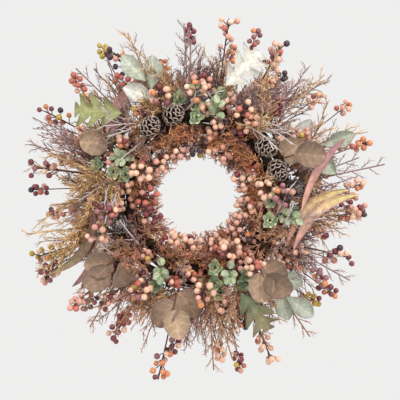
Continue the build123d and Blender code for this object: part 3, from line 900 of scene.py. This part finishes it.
def side_shoots(mesh, lines, radii, tint, spacing, length, angle=40, bend=0.25, steps=4, sides=4):
    """Shoots along each line, on alternate sides, shorter towards its tip and turned up along it."""
    if not len(lines):
        return lines, tint
    sizes = np.linalg.norm(np.diff(lines, axis=1), axis=2).sum(1)
    counts = np.maximum((sizes / spacing).astype(int), 1)
    owner = np.repeat(np.arange(len(lines)), counts)
    rank = np.arange(len(owner)) - np.repeat(np.cumsum(counts) - counts, counts)
    share = np.minimum((rank + rng.uniform(0.3, 1.0, len(owner))) / counts[owner], 0.99)
    place = share * (lines.shape[1] - 1)
    step = place.astype(int)
    part = (place - step)[:, None]
    spots = lines[owner, step] * (1 - part) + lines[owner, step + 1] * part
    heading = unit(lines[owner, step + 1] - lines[owner, step])
    side = square_to(heading)
    turn = rank * math.pi + rng.uniform(-0.9, 0.9, len(owner)) + rng.uniform(0, 6, len(lines))[owner]
    turn = turn[:, None]
    side = side * np.cos(turn) + np.cross(heading, side) * np.sin(turn)
    slope = np.radians(angle + rng.uniform(-12, 12, len(owner)))[:, None]
    ways = heading * np.cos(slope) + side * np.sin(slope)
    grown_sizes = length * (1.1 - 0.6 * share) * rng.uniform(0.6, 1.15, len(owner))
    grown = curl(spots, ways, grown_sizes, steps, bend)
    rise = np.linspace(0, 1, steps)[None, :, None] ** 2
    grown = grown + 0.25 * heading[:, None] * grown_sizes[:, None, None] * rise
    shades = tint[owner] * rng.uniform(0.7, 1.35, (len(owner), 1))
    kept = within(grown).all(1)
    grown, shades = grown[kept], shades[kept]
    tubes(mesh, grown, np.linspace(*radii, steps)[None].repeat(len(grown), 0), shades, sides)
    return grown, shades


# Where each kind of shoot starts and ends in radius
STEM_STEPS = 8
STEM_TAPER = (1.25 * MM, 0.6 * MM)
SIDE_TAPER = (0.8 * MM, 0.45 * MM)
NEEDLE_TAPER = (0.7 * MM, 0.45 * MM)
FINE_TAPER = (0.6 * MM, 0.4 * MM)


def tapers(taper, count):
    """The radii along a number of stems."""
    return np.linspace(*taper, STEM_STEPS)[None].repeat(count, 0)


def heather(mesh, starts, ways, lengths, tint, full):
    """Bushy sprays: a crooked stem, side twigs, and fine needles along both."""
    stems = curl(starts, ways, lengths, STEM_STEPS, 0.5)
    crooked = np.cumsum(rng.normal(size=stems.shape) * 0.6 * MM, axis=1)
    stems = stems + crooked - crooked[:, :1]
    kept = within(stems).all(1) & free(stems, 3.5 * MM)
    stems, tint = stems[kept], tint[kept]
    if not len(stems):
        return
    tubes(mesh, stems, tapers(STEM_TAPER, len(stems)), tint * 0.45, 5)
    twigs, shades = side_shoots(mesh, stems, SIDE_TAPER, tint * 0.8, 9 * MM / full, 27 * MM)
    pale = np.minimum(tint * 1.2, 1)
    side_shoots(mesh, stems, NEEDLE_TAPER, pale, 6 * MM, 8 * MM, steps=3, sides=3)
    kept = free(twigs, 2.5 * MM)
    pale = np.minimum(shades[kept] * 1.5, 1)
    side_shoots(mesh, twigs[kept], NEEDLE_TAPER, pale, 4.4 * MM / full, 8.5 * MM, steps=3, sides=3)


def twig_colour(bearing, palette):
    """The sprays' colour changes round the ring, with chance neighbours mixed in."""
    count = len(palette)
    share = (np.asarray(bearing) / 360 * count + rng.normal(0, 0.9, np.shape(bearing))) % count
    return palette[share.astype(int)]


# Rods thinner than this are side twigs and not stems
TWIG_RADIUS = 1.4 * MM
for number, node in enumerate(nodes_named("twig_spray"), 1):
    mesh = Mesh()
    pieces = solids(node)
    colour = twig_colour([bearing_of(pieces[0][0].mean(0))], TWIGS)[0]
    rods = []
    for points, triangles in pieces:
        mesh.add(points, triangles, colour * 0.7)
        start, end, radius = rod_ends(points)
        if radius < TWIG_RADIUS:
            nearer = np.linalg.norm(start - CENTRE) < np.linalg.norm(end - CENTRE)
            rods.append((start, end) if nearer else (end, start))
    rods = np.array(rods)
    lengths = np.linalg.norm(rods[:, 1] - rods[:, 0], axis=1)
    lines = curl(rods[:, 0], rods[:, 1] - rods[:, 0], lengths, 5, 0.05)
    tint = np.repeat(colour[None], len(lines), 0) * rng.uniform(0.8, 1.2, (len(lines), 1))
    side_shoots(mesh, lines, FINE_TAPER, tint, 3.6 * MM, 10 * MM, steps=3, sides=3)
    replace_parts(mesh.piece(f"twigs_{number}", TWIG, "twig"), node)

# Heather between the sprays. Each row: clumps in a sector and stems in a clump, their lean and
# length, how far clumps and single stems turn along the ring, how bushy they are, and their colours
HEATHER = (
    (1, 7, (-14, 30), (95, 160), 0.45, 0.12, 1.1, TWIGS),
    (2, 3, (-14, 40), (90, 120), 0.5, 0.3, 0.9, TWIGS),
    (4, 5, (-15, 50), (50, 88), 0.6, 0.2, 1.2, TWIGS),
    (4, 5, (-15, 60), (28, 55), 0.8, 0.4, 1.2, TWIGS),
    (4, 4, (45, 105), (35, 60), 1.0, 0.3, 1.1, TWIGS),
    (9, 3, (60, 150), (22, 38), 1.3, 0.5, 1.2, MOSS),
    (7, 3, (125, 185), (18, 36), 0.9, 0.4, 1.2, MOSS),
    (2, 3, (195, 330), (25, 45), 1.2, 0.4, 0.8, MOSS),
)
SECTORS = 18
for sector in range(SECTORS):
    mesh = Mesh()
    for clumps, each, lean, length, lay, spread, full, palette in HEATHER:
        count = clumps * each
        bearing = (sector + np.repeat(rng.random(clumps), each)) * 360 / SECTORS
        slope = np.repeat(rng.uniform(*lean, clumps), each) + rng.normal(0, 5, count)
        lengths = np.repeat(rng.uniform(*length, clumps), each) * rng.uniform(0.6, 1.05, count) * MM
        turn = np.repeat(rng.normal(0, lay, clumps), each) + rng.normal(0, spread, count)
        heading = way_off(bearing, slope) + direction_at(bearing + 90) * turn[:, None]
        tint = np.repeat(twig_colour(bearing[::each], palette), each, 0)
        tint = tint * rng.uniform(0.8, 1.2, (count, 1))
        foot_bearing = bearing + rng.normal(0, 1.6, count)
        feet = off_ring(foot_bearing, slope + rng.normal(0, 6, count), np.full(count, BUNDLE_RADIUS))
        heather(mesh, feet, heading, lengths, tint, full)
    mesh.piece(f"heather_{sector + 1}", TWIG, "twig")

# A few bare silvery-lilac twigs laid over the front
LILAC_HOURS = (1.2, 3.9, 7.6, 9.2, 10.8, 11.6)
LILAC_EACH = 8
LILAC_TAPER = (1.5 * MM, 0.8 * MM)
LILAC_SIDE_TAPER = (0.9 * MM, 0.5 * MM)
for number, hour in enumerate(LILAC_HOURS, 1):
    mesh = Mesh()
    bearing = hour * 30 + rng.uniform(-8, 8, LILAC_EACH)
    slope = rng.uniform(45, 100, LILAC_EACH)
    heading = way_off(bearing, slope) + direction_at(bearing + 90) * rng.choice([-1, 1])
    starts = off_ring(bearing, slope, np.full(LILAC_EACH, BUNDLE_RADIUS + 4 * MM))
    stems = curl(starts, heading, rng.uniform(60, 90, LILAC_EACH) * MM, STEM_STEPS, 0.4)
    stems = stems[within(stems).all(1) & free(stems, 2 * MM)]
    if not len(stems):
        continue
    tint = np.repeat(LILAC[None], len(stems), 0) * rng.uniform(0.8, 1.1, (len(stems), 1))
    tubes(mesh, stems, tapers(LILAC_TAPER, len(stems)), tint, 6)
    side_shoots(mesh, stems, LILAC_SIDE_TAPER, tint, 11 * MM, 22 * MM)
    mesh.piece(f"lilac_twigs_{number}", TWIG, "twig")


# ---------------------------------------------------------------- stage, light and camera


def plain(name, colour, roughness):
    made, _, _, shader = material(name)
    shader.inputs["Base Color"].default_value = (*colour, 1)
    shader.inputs["Roughness"].default_value = roughness
    return made


FLOOR_DROP = 0.9
FLOOR_RADIUS = 1.8
bpy.ops.mesh.primitive_circle_add(vertices=96, radius=FLOOR_RADIUS, fill_type="NGON",
                                  location=(CENTRE[0], CENTRE[1], CENTRE[2] - FLOOR_DROP))
floor = bpy.context.object
floor.name = "floor"
floor.data.materials.append(plain("floor_pale", (0.56, 0.55, 0.54), 0.8))


def lamp(name, place, size, power, colour=(1, 1, 1)):
    light = bpy.data.lights.new(name, "AREA")
    light.shape = "DISK"
    light.size = size
    light.energy = power
    light.color = colour
    lit = bpy.data.objects.new(name, light)
    lit.location = place
    lit.rotation_euler = (Vector(CENTRE) - Vector(place)).to_track_quat("-Z", "Y").to_euler()
    bpy.context.scene.collection.objects.link(lit)


lamp("key", (0.9, -1.7, 1.1), 0.9, 30, (1.0, 0.97, 0.94))
lamp("fill", (-1.4, -1.5, 0.1), 1.6, 6, (0.96, 0.98, 1.0))
lamp("rear", (0.4, 1.8, 0.7), 1.6, 16)

world = bpy.data.worlds.new("studio")
world.use_nodes = True
sky = world.node_tree.nodes["Background"].inputs
sky["Color"].default_value = (0.89, 0.885, 0.88, 1)
sky["Strength"].default_value = 0.97
bpy.context.scene.world = world
bpy.context.scene.view_settings.view_transform = "Standard"

LENS = 85.0
SENSOR = 36.0
VIEW_WIDTH = 0.665
VIEW_RIGHT = 0.003
VIEW_DOWN = 0.008
camera_data = bpy.data.cameras.new("camera")
camera_data.lens = LENS
camera_data.sensor_width = SENSOR
camera = bpy.data.objects.new("camera", camera_data)
distance = VIEW_WIDTH / 2 / (SENSOR / 2 / LENS)
camera.location = (CENTRE[0] + VIEW_RIGHT, CENTRE[1] - distance, CENTRE[2] - VIEW_DOWN)
camera.rotation_euler = (math.pi / 2, 0, 0)
bpy.context.scene.collection.objects.link(camera)
bpy.context.scene.camera = camera
